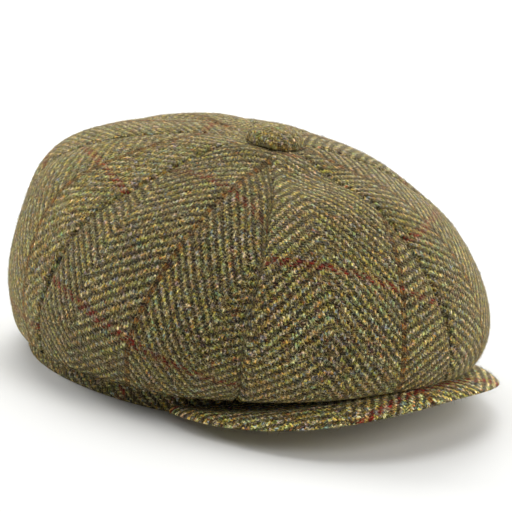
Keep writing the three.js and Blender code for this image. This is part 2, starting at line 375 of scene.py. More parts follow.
YARN = 1.5  # mm between neighbouring yarns, in both directions, as the photo's stripes have them
CHEVRON_YARNS = 25.0  # warp yarns from one spine of the herringbone to the next
TWILL = 4.0  # yarns in one repeat of the twill: each goes over two and under two
CHECK_DOWN = 62 * YARN  # mm between red lines
CHECK_ACROSS = 3 * YARN * CHEVRON_YARNS  # mm between orange lines, which run on the spines
RED_HALF, ORANGE_HALF = 1.5 * YARN, YARN  # half the lines' widths

# The yarns' unevenness: noise waves to the mm, then over how many mm they move a yarn
WANDER_PER_MM, WANDER = 0.11, 2.4
SHIVER_PER_MM, SHIVER = 0.55, 1.25
LOCKS_PER_MM = 0.75  # lengths of one wool in a yarn
TUFTS_PER_MM = 1.25  # lighter and darker tufts
FUZZ_PER_MM = 1.1  # places where fibres of one yarn lie over the next
PATCHES_PER_MM = 0.2
BROAD_PER_MM = 0.035
# Fibres and spun strands, to the mm across a yarn and along it. Wool is 0.02 to 0.04 mm thick, too
# fine to show, so the fibres are drawn about 0.9 mm wide and the strands 1.4 mm.
FIBRES_ACROSS, FIBRES_ALONG = 1.15, 0.5
STRANDS_ACROSS, STRANDS_ALONG = 0.7, 0.06
WEAVE_RELIEF = 0.9 * MM
FUZZ_RELIEF = 1.2  # how high the loose fibres stand, against a yarn

# Tones: each noise is stretched to run from a dark share of the yarns' colour to a pale one.
FUZZ_FROM, FUZZ_TO, MOST_MIXED = 0.53, 0.62, 0.8
RED_MIXED = 0.35  # share of that mixing which reaches the red line
BRIGHTEST_FIBRE = 1.7
HOLLOW_SHADE, TOP_LIGHT = 0.68, 1.1  # painted shade between the yarns and painted light on top of them
DARK_TUFT, PALE_TUFT = 0.6, 1.4
DARK_STRAND, PALE_STRAND = 0.6, 1.4
DARK_DRIFT, PALE_DRIFT = 0.88, 1.1
PATCH_FROM, PATCH_TO = (0.34,) * 3, (0.66,) * 3
DARK_PATCH, PALE_PATCH = (0.81, 0.83, 0.74), (1.19, 1.16, 1.24)
BOW = 0.6  # below 1, the yarns are blunter than round

PALE_YARNS = [
    (0.0, "#b3a356"),
    (0.17, "#c6b684"),
    (0.33, "#978c40"),
    (0.47, "#b09456"),
    (0.58, "#a89c86"),
    (0.68, "#95a070"),
    (0.78, "#b99642"),
    (0.86, "#8e968c"),
    (0.93, "#a8703e"),
    (0.96, "#cfc290"),
]
DARK_YARNS = [
    (0.0, "#261b0c"),
    (0.18, "#141f16"),
    (0.34, "#301c20"),
    (0.46, "#1a1f2e"),
    (0.56, "#352c14"),
    (0.7, "#1d150b"),
    (0.84, "#4c4228"),
    (0.94, "#4a2c26"),
]
RED_YARNS = [(0.0, "#5e100d"), (0.45, "#711914"), (0.85, "#401713")]
ORANGE_YARNS = [(0.0, "#8a5a1c"), (0.5, "#7a4318"), (0.8, "#947a3a")]
RUST, RUST_SHARE = "#6c3527", 0.4  # red wool carried over the pale yarns that it crosses


def woven_tweed(name, lightness=1.0, bloom=0.6, softness=0.05, grain=10.0):
    """Woollen tweed, woven in herringbone: a rough cloth whose pale and dark yarns make slanting
    stripes, with flecks of other wools in each yarn and a pale bloom of loose fibre. Softness is
    how far the two yarns' colours run together, and grain how strongly single fibres show."""
    material, tree = bare_material(name)
    cloth = add_node(tree, "ShaderNodeUVMap", uv_map="cloth")

    # Hand of the cloth: the yarns wander and shiver a little.
    place = cloth
    for per_mm, amount in ((WANDER_PER_MM, WANDER), (SHIVER_PER_MM, SHIVER)):
        pull = add_node(tree, NOISE, {"Vector": cloth, "Scale": per_mm, "Detail": 2.0})
        pull = add_node(tree, VECTOR, {0: pull.outputs["Color"], 1: (0.5, 0.5, 0.5)},
                        operation="SUBTRACT")
        pull = add_node(tree, VECTOR, {0: pull, "Scale": amount}, operation="SCALE")
        place = add_node(tree, VECTOR, {0: place, 1: pull}, operation="ADD")
    yarns = add_node(tree, VECTOR, {0: place, "Scale": 1 / YARN}, operation="SCALE")
    number = add_node(tree, VECTOR, {0: yarns}, operation="FLOOR")
    within = add_node(tree, VECTOR, {0: yarns}, operation="FRACTION")
    number = add_node(tree, "ShaderNodeSeparateXYZ", {0: number})
    within = add_node(tree, "ShaderNodeSeparateXYZ", {0: within})
    warp_number, weft_number = number.outputs["X"], number.outputs["Y"]
    warp_within, weft_within = within.outputs["X"], within.outputs["Y"]

    # Herringbone: the twill's step runs up and then down across each column.
    middle = add_node(tree, MATH, {0: warp_number, 1: 0.5}, operation="ADD")
    climb = add_node(tree, MATH, {0: middle, 1: CHEVRON_YARNS}, operation="PINGPONG")
    climb = add_node(tree, MATH, {0: climb}, operation="FLOOR")
    step = add_node(tree, MATH, {0: climb, 1: weft_number}, operation="ADD")
    step = add_node(tree, MATH, {0: step, 1: TWILL}, operation="FLOORED_MODULO")
    warp_on_top = add_node(tree, MATH, {0: step, 1: 1.5}, operation="LESS_THAN")
    column = add_node(tree, MATH, {0: middle, 1: CHEVRON_YARNS}, operation="DIVIDE")
    column = add_node(tree, MATH, {0: column}, operation="FLOOR")
    falling = add_node(tree, MATH, {0: column, 1: 2.0}, operation="FLOORED_MODULO")

    # How high each yarn stands: round across, and bowed over the two yarns that it crosses.
    rising_run = add_node(tree, MATH, {0: step, 1: 2.0}, operation="SUBTRACT")
    falling_run = add_node(tree, MATH, {0: 3.0, 1: step}, operation="SUBTRACT")
    weft_step = add_node(tree, MIX, {0: falling, 2: rising_run, 3: falling_run},
                         data_type="FLOAT")
    heights = []
    for crossed, along_yarn, across_yarn in (
        (weft_step, warp_within, weft_within),
        (step, weft_within, warp_within),
    ):
        bow = add_node(tree, MATH, {0: crossed, 1: along_yarn}, operation="ADD")
        bow = add_node(tree, MATH, {0: bow, 1: math.pi / 2}, operation="MULTIPLY")
        bow = add_node(tree, MATH, {0: bow}, operation="SINE")
        section_round = add_node(tree, MATH, {0: across_yarn, 1: math.pi}, operation="MULTIPLY")
        section_round = add_node(tree, MATH, {0: section_round}, operation="SINE")
        heights.append(add_node(tree, MATH, {0: bow, 1: section_round}, operation="MULTIPLY"))
    height = add_node(tree, MIX, {0: warp_on_top, 2: heights[0], 3: heights[1]},
                      data_type="FLOAT")
    height = add_node(tree, MATH, {0: height, 1: 0.0}, operation="MAXIMUM")
    height = add_node(tree, MATH, {0: height, 1: BOW}, operation="POWER")

    # The wools in each yarn: short lengths of one colour.
    lock = add_node(tree, CELLS, {"Vector": place, "Scale": LOCKS_PER_MM})
    wool = add_node(tree, "ShaderNodeSeparateColor", {0: lock.outputs["Color"]})
    tuft = add_node(tree, CELLS, {"Vector": place, "Scale": TUFTS_PER_MM})
    tuft = add_node(tree, "ShaderNodeSeparateColor", {0: tuft.outputs["Color"]})
    pale = add_node(tree, RAMP, {0: wool.outputs[0]}, PALE_YARNS)
    dark = add_node(tree, RAMP, {0: wool.outputs[1]}, DARK_YARNS)
    red = add_node(tree, RAMP, {0: wool.outputs[2]}, RED_YARNS)
    orange = add_node(tree, RAMP, {0: wool.outputs[2]}, ORANGE_YARNS)

    # Overcheck: a red line in the weft and an orange one in the warp.
    spot = add_node(tree, "ShaderNodeSeparateXYZ", {0: place})
    lines = []
    for line, spacing, half in (
        (spot.outputs["Y"], CHECK_DOWN, RED_HALF),
        (spot.outputs["X"], CHECK_ACROSS, ORANGE_HALF),
    ):
        for operation, amount in (("ADD", spacing / 2), ("FLOORED_MODULO", spacing),
                                  ("SUBTRACT", spacing / 2), ("ABSOLUTE", 0.0),
                                  ("LESS_THAN", half)):
            line = add_node(tree, MATH, {0: line, 1: amount}, operation=operation)
        lines.append(line)
    red_line, orange_line = lines
    rusty = add_node(tree, MATH, {0: red_line, 1: RUST_SHARE}, operation="MULTIPLY")
    dark = add_node(tree, MIX, {0: red_line, 6: dark, 7: red}, data_type="RGBA").outputs[2]
    pale = add_node(tree, MIX, {0: orange_line, 6: pale, 7: orange}, data_type="RGBA").outputs[2]
    pale = add_node(tree, MIX, {0: rusty, 6: pale, 7: linear(RUST)}, data_type="RGBA").outputs[2]
    top = add_node(tree, MIX, {0: warp_on_top, 6: dark, 7: pale}, data_type="RGBA").outputs[2]
    under = add_node(tree, MIX, {0: warp_on_top, 6: pale, 7: dark}, data_type="RGBA").outputs[2]

    # Fibres cross the yarns, so that some of each colour lies over the next, least on the red.
    fuzz = add_node(tree, NOISE, {"Vector": cloth, "Scale": FUZZ_PER_MM, "Detail": 4.0,
                                  "Roughness": 0.75})
    mixed = add_node(tree, SPREAD, {0: fuzz, 1: FUZZ_FROM, 2: FUZZ_TO, 3: softness,
                                    4: MOST_MIXED})
    kept = add_node(tree, SPREAD, {0: red_line, 1: 0.0, 2: 1.0, 3: 1.0, 4: RED_MIXED})
    mixed = add_node(tree, MATH, {0: mixed, 1: kept}, operation="MULTIPLY")
    colour = add_node(tree, MIX, {0: mixed, 6: top, 7: under}, data_type="RGBA").outputs[2]

    # Streaks of fibre, and of the spun strand, along whichever yarn lies on top.
    streaks = []
    for ground, across_yarn, along_yarn, detail, twist in (
        (cloth, FIBRES_ACROSS, FIBRES_ALONG, 2.0, 0.8),
        (place, STRANDS_ACROSS, STRANDS_ALONG, 1.0, 0.0),
    ):
        warp_way = add_node(tree, VECTOR, {0: ground, 1: (across_yarn, along_yarn, 1.0)},
                            operation="MULTIPLY")
        weft_way = add_node(tree, VECTOR, {0: ground, 1: (along_yarn, across_yarn, 1.0)},
                            operation="MULTIPLY")
        way = add_node(tree, MIX, {0: warp_on_top, 4: weft_way, 5: warp_way}, data_type="VECTOR")
        streaks.append(add_node(tree, NOISE, {"Vector": way.outputs[1], "Scale": 1.0,
                                              "Detail": detail, "Distortion": twist}))
    fibre, strand = streaks
    fibre = add_node(tree, MATH, {0: fibre, 1: 0.5}, operation="SUBTRACT")
    fibre = add_node(tree, MATH, {0: fibre, 1: grain}, operation="MULTIPLY")
    fibre = add_node(tree, MATH, {0: fibre}, operation="EXPONENT")
    fibre = add_node(tree, MATH, {0: fibre, 1: BRIGHTEST_FIBRE}, operation="MINIMUM")
    strand = add_node(tree, SPREAD, {0: strand, 1: 0.3, 2: 0.7, 3: DARK_STRAND, 4: PALE_STRAND})

    # Light and shade of the weave, then broad drifts and small patches of tone.
    shade = add_node(tree, SPREAD, {0: height, 1: 0.0, 2: 1.0, 3: HOLLOW_SHADE, 4: TOP_LIGHT})
    lustre = add_node(tree, SPREAD, {0: tuft, 1: 0.0, 2: 1.0, 3: DARK_TUFT, 4: PALE_TUFT})
    broad = add_node(tree, NOISE, {"Vector": cloth, "Scale": BROAD_PER_MM, "Detail": 3.0})
    drift = add_node(tree, SPREAD, {0: broad, 1: 0.3, 2: 0.7, 3: DARK_DRIFT, 4: PALE_DRIFT})
    # Each copy's lightness scales the whole colour; the paler and darker copies use it as painted
    # light and painted shade.
    for part in (lustre, fibre, strand, drift, lightness):
        shade = add_node(tree, MATH, {0: shade, 1: part}, operation="MULTIPLY")
    patches = add_node(tree, NOISE, {"Vector": cloth, "Scale": PATCHES_PER_MM, "Detail": 3.0,
                                     "Roughness": 0.65})
    tint = add_node(tree, SPREAD, {
        6: patches.outputs["Color"],
        7: PATCH_FROM,
        8: PATCH_TO,
        9: DARK_PATCH,
        10: PALE_PATCH,
    }, data_type="FLOAT_VECTOR").outputs["Vector"]
    colour = add_node(tree, VECTOR, {0: colour, 1: tint}, operation="MULTIPLY")
    colour = add_node(tree, VECTOR, {0: colour, "Scale": shade}, operation="SCALE")

    relief = add_node(tree, MATH, {0: fuzz, 1: FUZZ_RELIEF}, operation="MULTIPLY")
    relief = add_node(tree, MATH, {0: relief, 1: height}, operation="ADD")
    bump = add_node(tree, "ShaderNodeBump", {"Height": relief, "Strength": 0.9,
                                             "Distance": WEAVE_RELIEF})
    surface = add_node(tree, PRINCIPLED, {
        "Base Color": colour,
        "Roughness": 0.92,
        "IOR": 1.5,
        "Specular IOR Level": 0.12,
        "Sheen Weight": bloom,
        "Sheen Roughness": 0.28,
        "Sheen Tint": linear("#c6b684"),
        "Normal": bump,
    })
    add_node(tree, "ShaderNodeOutputMaterial", {0: surface})
    return material


def woven_lining(name):
    """Cotton twill lining, woven: smooth and brown, with a faint diagonal line and a soft gloss.
    The twill's lines are drawn 0.9 mm apart, because real ones are too fine to show."""
    material, tree = bare_material(name)
    cloth = add_node(tree, "ShaderNodeUVMap", uv_map="cloth")
    lines = add_node(tree, "ShaderNodeTexWave", {"Vector": cloth, "Scale": 0.5, "Distortion": 0.4},
                     wave_type="BANDS", bands_direction="DIAGONAL").outputs["Fac"]
    tone = add_node(tree, MIX, {0: lines, 6: linear("#33291d"), 7: linear("#453829")},
                    data_type="RGBA")
    bump = add_node(tree, "ShaderNodeBump", {"Height": lines, "Strength": 0.3,
                                             "Distance": 0.2 * MM})
    surface = add_node(tree, PRINCIPLED, {
        "Base Color": tone.outputs[2],
        "Roughness": 0.6,
        "IOR": 1.5,
        "Normal": bump,
    })
    add_node(tree, "ShaderNodeOutputMaterial", {0: surface})
    return material


def loose_wool(name):
    """Wool fibre, raised from woollen yarn: fine pale and dark hairs that blur the cloth's edge."""
    material, tree = bare_material(name)
    hair = add_node(tree, "ShaderNodeUVMap", uv_map="cloth")
    chance = add_node(tree, "ShaderNodeTexWhiteNoise", {"Vector": hair}, noise_dimensions="2D")
    wools = add_node(tree, RAMP, {0: chance}, [
        (0.0, "#c2b070"), (0.2, "#8d7c48"), (0.32, "#d6c894"), (0.44, "#2c2212"),
        (0.7, "#6e6a68"), (0.78, "#18130c"), (0.95, "#9a6230"),
    ])
    surface = add_node(tree, PRINCIPLED, {
        "Base Color": wools,
        "Roughness": 0.8,
        "IOR": 1.55,
        "Specular IOR Level": 0.3,
        "Sheen Weight": 0.2,
    })
    add_node(tree, "ShaderNodeOutputMaterial", {0: surface})
    return material


TWEED = woven_tweed("woollen_tweed_herringbone_woven")
# Painted light: a paler copy with softer stripes and a little more bloom, for the back panels that
# the lamps light at a grazing angle.
TWEED_PAINTED_LIGHT = woven_tweed("woollen_tweed_herringbone_woven_painted_light", lightness=1.1, bloom=0.65,
                           softness=0.2, grain=9.0)
# Painted shade: a darker copy with less bloom, for the panel that faces away from the lamps.
TWEED_PAINTED_SHADE = woven_tweed("woollen_tweed_herringbone_woven_painted_shade", lightness=0.8, bloom=0.5)
# Painted shade: a darker copy with no bloom where the cloth turns in to the headband, standing for
# the shadow under the crown's edge.
TWEED_UNDER_SHADED = woven_tweed("woollen_tweed_herringbone_woven_turned_under_painted_shade", lightness=0.62,
                          bloom=0.0)
TWEED_BAND = woven_tweed("woollen_tweed_herringbone_woven_band", lightness=0.95)
# Stretched over the board, with hardly any bloom; painted light: a much paler copy, for the peak,
# which lies under the crown's overhang.
TWEED_PEAK_PAINTED_LIGHT = woven_tweed("woollen_tweed_herringbone_woven_peak_painted_light", lightness=1.8, bloom=0.1,
                         softness=0.08, grain=8.0)
# Gathered over the button, with the most bloom; painted light: a paler copy with the softest
# stripes, for its top, which the overhead lamp lights at a grazing angle.
TWEED_BUTTON_PAINTED_LIGHT = woven_tweed("woollen_tweed_herringbone_woven_button_painted_light", lightness=1.25, bloom=0.8,
                           softness=0.28, grain=5.0)
LINING = woven_lining("cotton_twill_lining_woven")
# Copies of the cloth by panel: plain, painted light and painted shade.
LIGHTING_COPIES = {"plain": TWEED, "painted_light": TWEED_PAINTED_LIGHT, "painted_shade": TWEED_PAINTED_SHADE}
LOOSE_WOOL = loose_wool("wool_fibre_raised")


def grid_of(columns, rows):
    """A flat grid, with each vertex's column and row as arrays in the mesh's order."""
    shape = bmesh.new()
    bmesh.ops.create_grid(shape, x_segments=columns, y_segments=rows, size=1)
    shape.verts.ensure_lookup_table()
    places = np.array([v.co[:2] for v in shape.verts])
    column = np.rint((places[:, 0] + 1) / 2 * columns).astype(int)
    row = np.rint((places[:, 1] + 1) / 2 * rows).astype(int)
    return shape, column, row


def lay(shape, column, row, points, warp, weft):
    """Moves the grid's vertices to their places, and writes its cloth coordinates in mm."""
    for vertex, place in zip(shape.verts, points[row, column]):
        vertex.co = Vector(place) * MM
    cloth = shape.loops.layers.uv.new("cloth")
    for face in shape.faces:
        face.smooth = True
        for corner in face.loops:
            i, j = column[corner.vert.index], row[corner.vert.index]
            corner[cloth].uv = (warp[j, i], weft[j, i])


def closed_up(shape):
    """Joins a rolled grid along its seam and at its poles, closes any end that is left open, and
    turns its faces outwards."""
    bmesh.ops.remove_doubles(shape, verts=shape.verts[:], dist=0.01 * MM)
    ends = [edge for edge in shape.edges if edge.is_boundary]
    if ends:
        bmesh.ops.holes_fill(shape, edges=ends)
    bmesh.ops.recalc_face_normals(shape, faces=shape.faces[:])


def placed(mesh, name, materials):
    """Puts a piece in the scene, where it rides on the cap."""
    for material in materials:
        mesh.materials.append(material)
    piece = bpy.data.objects.new(name, mesh)
    bpy.context.scene.collection.objects.link(piece)
    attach(piece, "root")
    return piece


def finished(shape, name, node, materials):
    """Makes the shape a piece that stands for a solid."""
    mesh = bpy.data.meshes.new(name)
    shape.normal_update()
    shape.to_mesh(mesh)
    shape.free()
    piece = placed(mesh, name, materials)
    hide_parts(node)
    return piece


# Loose hairs, in mm. Real ones are 0.02 to 0.04 mm thick, too fine to show, so they are drawn
# four times as wide.
FIBRE_BITS = 2
FIBRES_PER_MM2 = 0.6
FIBRE_LENGTH = (1.2, 3.6)
FIBRE_LIFT = (0.05, 0.45)
FIBRE_RISE = 1.6  # times its lift, which it climbs for each mm of length
FIBRE_DROOP = 0.45  # share of the climb that is lost at the end
FIBRE_TAPER = 0.5
FIBRE_CURL = 0.5
FIBRE_WIDTH = (0.08, 0.16)
FIBRE_ROOT = 0.1  # above the cloth
FLOOR_GAP = 0.02


def fibres(name, places, normals, random):
    """Short loose hairs that stand off the cloth at the given places."""
    count = len(places)
    strips = 2 * count - 1  # the strips between two hairs are taken out again
    shape = bmesh.new()
    bmesh.ops.create_grid(shape, x_segments=strips, y_segments=FIBRE_BITS, size=1)
    shape.faces.ensure_lookup_table()
    strip = np.array([face.calc_center_median().x for face in shape.faces])
    strip = np.floor((strip + 1) / 2 * strips).astype(int)
    between = [face for face, place in zip(shape.faces, strip) if place % 2]
    bmesh.ops.delete(shape, geom=between, context="FACES")
    mesh = bpy.data.meshes.new(name)
    shape.to_mesh(mesh)
    shape.free()
    flat = np.zeros(len(mesh.vertices) * 3, np.float32)
    mesh.vertices.foreach_get("co", flat)
    flat = flat.reshape(-1, 3)
    edge = np.rint((flat[:, 0] + 1) / 2 * strips).astype(int)
    side, hair = edge % 2, edge // 2
    share = (flat[:, 1] + 1) / 2
    heading = random.normal(size=(count, 3))
    heading -= normals * np.sum(heading * normals, axis=1, keepdims=True)
    heading /= np.linalg.norm(heading, axis=1, keepdims=True)
    sideways = np.cross(normals, heading)
    length = random.uniform(*FIBRE_LENGTH, count)
    lift = random.uniform(*FIBRE_LIFT, count)
    curl = random.normal(0, FIBRE_CURL, count)
    width = random.uniform(*FIBRE_WIDTH, count)
    run = share * length[hair]
    rise = FIBRE_ROOT + run * lift[hair] * FIBRE_RISE * (1 - FIBRE_DROOP * share)
    bend = curl[hair] * run * share
    half = (side - 0.5) * width[hair] * (1 - FIBRE_TAPER * share)
    spot = places[hair] + heading[hair] * run[:, None] + normals[hair] * rise[:, None]
    spot += sideways[hair] * (bend + half)[:, None]
    spot[:, 2] = np.maximum(spot[:, 2], FLOOR_GAP)  # hairs lie on the floor, not through it
    mesh.vertices.foreach_set("co", (spot * MM).astype(np.float32).ravel())
    # Each hair's number is its cloth coordinate, and gives it its colour.
    cloth = mesh.uv_layers.new(name="cloth")
    corners = np.zeros(len(mesh.loops), np.int32)
    mesh.loops.foreach_get("vertex_index", corners)
    numbers = np.stack([hair[corners], np.zeros(len(corners))], -1)
    cloth.data.foreach_set("uv", numbers.astype(np.float32).ravel())
    return placed(mesh, name, [LOOSE_WOOL])


def scattered(points, density, random):
    """Places and normals on a grid of points, evenly by area."""
    corner = points[:-1, :-1]
    across = points[:-1, 1:] - corner
    down = points[1:, :-1] - corner
    normal = np.cross(across, down)
    area = np.linalg.norm(normal, axis=-1)
    normal = normal / np.maximum(area, 1e-9)[..., None]
    count = int(area.sum() * density)
    cell = random.choice(area.size, count, p=(area / area.sum()).ravel())
    u, v = random.uniform(size=(2, count, 1))
    corner, across, down, normal = (part.reshape(-1, 3)[cell]
                                    for part in (corner, across, down, normal))
    return corner + across * u + down * v, normal


def raise_fibres(slot, points, inside, seed, name=None):
    """Fibres all over a grid of points, on the side away from a place inside the piece."""
    random = np.random.default_rng(seed)
    places, normals = scattered(points, FIBRES_PER_MM2, random)
    outward = np.sum(normals * (places - np.array(inside)), axis=1).mean()
    name = "wool_fibres_" + (name or slot)
    return fibres(name, places, normals * np.sign(outward), random)


COLUMNS, ROWS = 72, 92
SEAM_CROWDING = 0.07  # columns stand closer at the seams
RIM_CROWDING = 1.3  # rows stand closer at the headband
TURNED_UNDER = 0.935  # share of the way down from which the cloth takes its darker copy with no bloom, painted shade
SHOWING = 0.86  # share of the rows that fibres stand on
GRAIN_PIVOT = 100.0  # mm down the panel where its cloth's slant is measured from
INSIDE = (0, BUTTON_Y, 40)  # a place inside the crown


def crown_panel(index, name):
    """One panel, from its point under the button to its edge at the headband."""
    shape, column, row = grid_of(COLUMNS, ROWS)
    share = np.linspace(0, 1, COLUMNS + 1)
    across = share - SEAM_CROWDING * np.sin(math.tau * share)
    along = 1 - np.linspace(1, 0, ROWS + 1) ** RIM_CROWDING
    across, along = np.meshgrid(across, along)
    points = panel_points(index, across, along)
    flat_across, flat_down, width, down = flattened(points)
    cut = PANELS[name]
    warp = flat_across - cut["axis"] + cut["warp_lean"] * (flat_down - GRAIN_PIVOT)
    weft = flat_down - cut["check"] - cut["weft_lean"] * flat_across
    lay(shape, column, row, points, warp, weft)
    # Materials go in pairs, outside and lining: the panel's own, then the part turned under,
    # darkened as painted shade.
    materials = [LIGHTING_COPIES[cut.get("lighting_copy", "plain")], LINING, TWEED_UNDER_SHADED, LINING]
    # Rows past TURNED_UNDER take the darker copy: painted shade where the cloth rolls under.
    for face in shape.faces:
        face.normal_update()
        if along[row[face.verts[0].index], 0] > TURNED_UNDER:
            face.material_index = 2
    middle = shape.faces[:][len(shape.faces) // 2]
    outward = middle.calc_center_median() - Vector(INSIDE) * MM
    if middle.normal.dot(outward) < 0:
        bmesh.ops.reverse_faces(shape, faces=shape.faces[:])
    piece = finished(shape, "tweed_panel_" + name, "crown_panel_" + name, materials)
    wall = piece.modifiers.new("cloth thickness", "SOLIDIFY")
    wall.thickness = CLOTH * MM
    wall.offset = -1
    wall.material_offset = 1
    fuzz = raise_fibres("crown", points[: int(ROWS * SHOWING)], INSIDE, index + 1, name)


for index, name in enumerate(PANELS):
    crown_panel(index, name)


BAND_COLUMNS, BAND_ROWS = 240, 36
BAND_SWELL = 0.5  # the folded cloth is fullest halfway up
BAND_INSET = 0.5  # and lies this far in, so that it stays within its solid there
BAND_FLARE = 4.0  # the rim stands out this far where it has been stretched
FLARE_ANGLE = -130.0  # degrees from the front, at the wearer's right back
FLARE_SPREAD = 0.6  # radians
BAND_WARP, BAND_WEFT = 7.0, 20.0  # where the cloth's pattern starts on the band
BAND_SEED, PEAK_SEED, BUTTON_SEED = 21, 22, 23


def rounded_wall(width, height, share):
    """A place round a wall's rounded section, and how far round it is: share 0 to 1 is once."""
    radius = width / 2
    straight = height - width
    turn = math.pi * radius
    along = share * (2 * straight + 2 * turn)
    if along < straight:
        return radius, along - straight / 2, along
    if along < straight + turn:
        angle = (along - straight) / radius
        return radius * math.cos(angle), straight / 2 + radius * math.sin(angle), along
    if along < 2 * straight + turn:
        return -radius, straight / 2 - (along - straight - turn), along
    angle = (along - 2 * straight - turn) / radius
    return -radius * math.cos(angle), -straight / 2 - radius * math.sin(angle), along


def headband():
    """The folded cloth round the head. Its rim rests on the floor and lifts at the front."""
    shape, column, row = grid_of(BAND_COLUMNS, BAND_ROWS)
    angle = np.linspace(-math.pi, math.pi, BAND_COLUMNS + 1)
    wall = np.array([rounded_wall(BAND_WALL, BAND_HEIGHT, j / BAND_ROWS)
                     for j in range(BAND_ROWS + 1)])
    points = np.empty((BAND_ROWS + 1, BAND_COLUMNS + 1, 3))
    aside = angle - math.radians(FLARE_ANGLE)
    behind = np.exp(-((np.arctan2(np.sin(aside), np.cos(aside)) / FLARE_SPREAD) ** 2))
    for j, (out, up, _) in enumerate(wall):
        swell = BAND_SWELL * math.cos(up / BAND_HEIGHT * math.pi) * (out > 0)
        flare = BAND_FLARE * behind * (0.5 - up / BAND_HEIGHT)
        points[j] = beside_band(angle, out - BAND_WALL / 2 + swell - BAND_INSET + flare,
                                rim_height(angle) + BAND_HEIGHT / 2 + up)
    steps = np.linalg.norm(np.diff(points[0], axis=0), axis=-1)
    around = np.concatenate([[0], np.cumsum(steps)])
    whole = (BAND_ROWS + 1, BAND_COLUMNS + 1)
    warp = np.broadcast_to(wall[:, 2:3] + BAND_WARP, whole)
    weft = np.broadcast_to(around[None] + BAND_WEFT, whole)
    lay(shape, column, row, points, warp, weft)
    closed_up(shape)
    outside = points[: BAND_ROWS // 2 + 2]
    raise_fibres("headband", outside, (0, 0, BAND_HEIGHT / 2), BAND_SEED)
    finished(shape, "tweed_headband", "headband", [TWEED_BAND])


headband()


PEAK_COLUMNS, PEAK_ROWS = 170, 84
PEAK_FULLNESS = 1.25  # the cloth makes it a little more crowned than its board
PEAK_CROWN_PLACE = 2.2  # above 1, the board is most crowned towards its edge
PEAK_CROWN_ENDS = 4  # the higher, the nearer to its tips the crown reaches
ROUNDING_START = 0.6  # share of the way out from which the board thins to its edge
ROUNDING = 2.2  # the higher, the blunter the edge
PEAK_WARP, PEAK_WEFT = 125.0, -143.5  # where the cloth's pattern starts on the peak
BELOW_PEAK = (0, -110, -200)  # its fibres stand up, away from this place


def peak_edge(side):
    """The peak's outer edge, from the wearer's right tip at -1 to the left tip at 1."""
    bend = side * math.pi / 2
    x = np.sign(side) * PEAK_WIDTH / 2 * np.abs(np.sin(bend)) ** EDGE_FULLNESS
    root_end = beside_band(math.radians(PEAK_HALF_ANGLE), CLEARANCE, 0.0)
    deepest = BAND_HALF_LENGTH + PEAK_LENGTH + root_end[1]
    y = root_end[1] - deepest * np.abs(np.cos(bend)) ** EDGE_FULLNESS
    z = PEAK_CORNER + PEAK_ARCH * (1 - (2 * x / PEAK_WIDTH) ** 2)
    tip_angle = math.radians(PEAK_HALF_ANGLE) * np.sign(side)
    tip = beside_band(tip_angle, PEAK_TIP, rim_height(tip_angle) + PEAK_ROOT)
    share = smooth_step(np.abs(side), TIP_START, 1)[..., None]
    return np.stack([x, y, z], -1) * (1 - share) + tip * share


def peak():
    """The board covered in cloth: over the top from its root to its edge, then back underneath."""
    shape, column, row = grid_of(PEAK_COLUMNS, PEAK_ROWS)
    side = np.linspace(-1, 1, PEAK_COLUMNS + 1)[None]
    loop = np.linspace(0, 1, PEAK_ROWS + 1)[:, None]
    out = 1 - np.abs(2 * loop - 1)
    face = np.sign(0.5 - loop)
    thinned = np.clip((out - ROUNDING_START) / (1 - ROUNDING_START), 0, 1)
    rounding = np.sqrt(np.clip(1 - thinned**ROUNDING, 0, 1))
    root_angle = np.radians(PEAK_HALF_ANGLE) * side
    root = beside_band(root_angle, CLEARANCE, rim_height(root_angle) + PEAK_ROOT)
    edge = peak_edge(side)
    points = root * (1 - out[..., None]) + edge * out[..., None]
    lift = PEAK_CROWN * np.sin(math.pi * out**PEAK_CROWN_PLACE) * (1 - side**PEAK_CROWN_ENDS)
    points[..., 2] += PEAK_FULLNESS * lift + face * rounding * PEAK_THICKNESS / 2
    # The cloth keeps its grain over the board, and is measured along the surface from the edge.
    steps = np.linalg.norm(np.diff(points, axis=0), axis=-1)
    reached = np.concatenate([np.zeros((1, PEAK_COLUMNS + 1)), np.cumsum(steps, axis=0)])
    from_edge = np.abs(reached - reached[PEAK_ROWS // 2])[..., None]
    outward = np.stack([np.sin(root_angle), -np.cos(root_angle)], -1)
    cloth = edge[..., :2] - outward * from_edge
    lay(shape, column, row, points, cloth[..., 0] + PEAK_WARP, -cloth[..., 1] + PEAK_WEFT)
    raise_fibres("peak", points[: PEAK_ROWS // 2 + 3], BELOW_PEAK, PEAK_SEED)
    closed_up(shape)
    finished(shape, "tweed_peak", "peak", [TWEED_PEAK_PAINTED_LIGHT])


peak()


BUTTON_COLUMNS, BUTTON_ROWS = 96, 40
BUTTON_EDGE = 0.3  # share of the height at which the button is widest
BUTTON_FLATNESS = 0.62  # below 1, its shoulder is squarer than a ball's
DOME, HOLLOW = 0.8, 0.5  # how soon its top and its underside round off
PLEAT, PLEATS = 0.55, 11  # the cloth is gathered under the rim
PLEAT_SWAY = 1.3  # the pleats aren't even
PLEAT_PLACE, PLEAT_SPREAD = 1.75, 0.16
SEAT_REACH, SEAT_STEPS = 0.3, 90  # how far down the crown its seat is looked for
BUTTON_GRAIN = 0.6  # radians that its cloth is turned by
BUTTON_WARP, BUTTON_WEFT = 20.0, 46.0
BUTTON_SHOWING = 0.65  # share of the rows that fibres stand on


def seat_height(angle, radius):
    """The crown's height at a distance from the button's axis."""
    along = np.linspace(0, SEAT_REACH, SEAT_STEPS)
    line = plain_crown(np.full_like(along, angle), along)
    return np.interp(radius, np.hypot(line[:, 0], line[:, 1] - BUTTON_Y), line[:, 2])


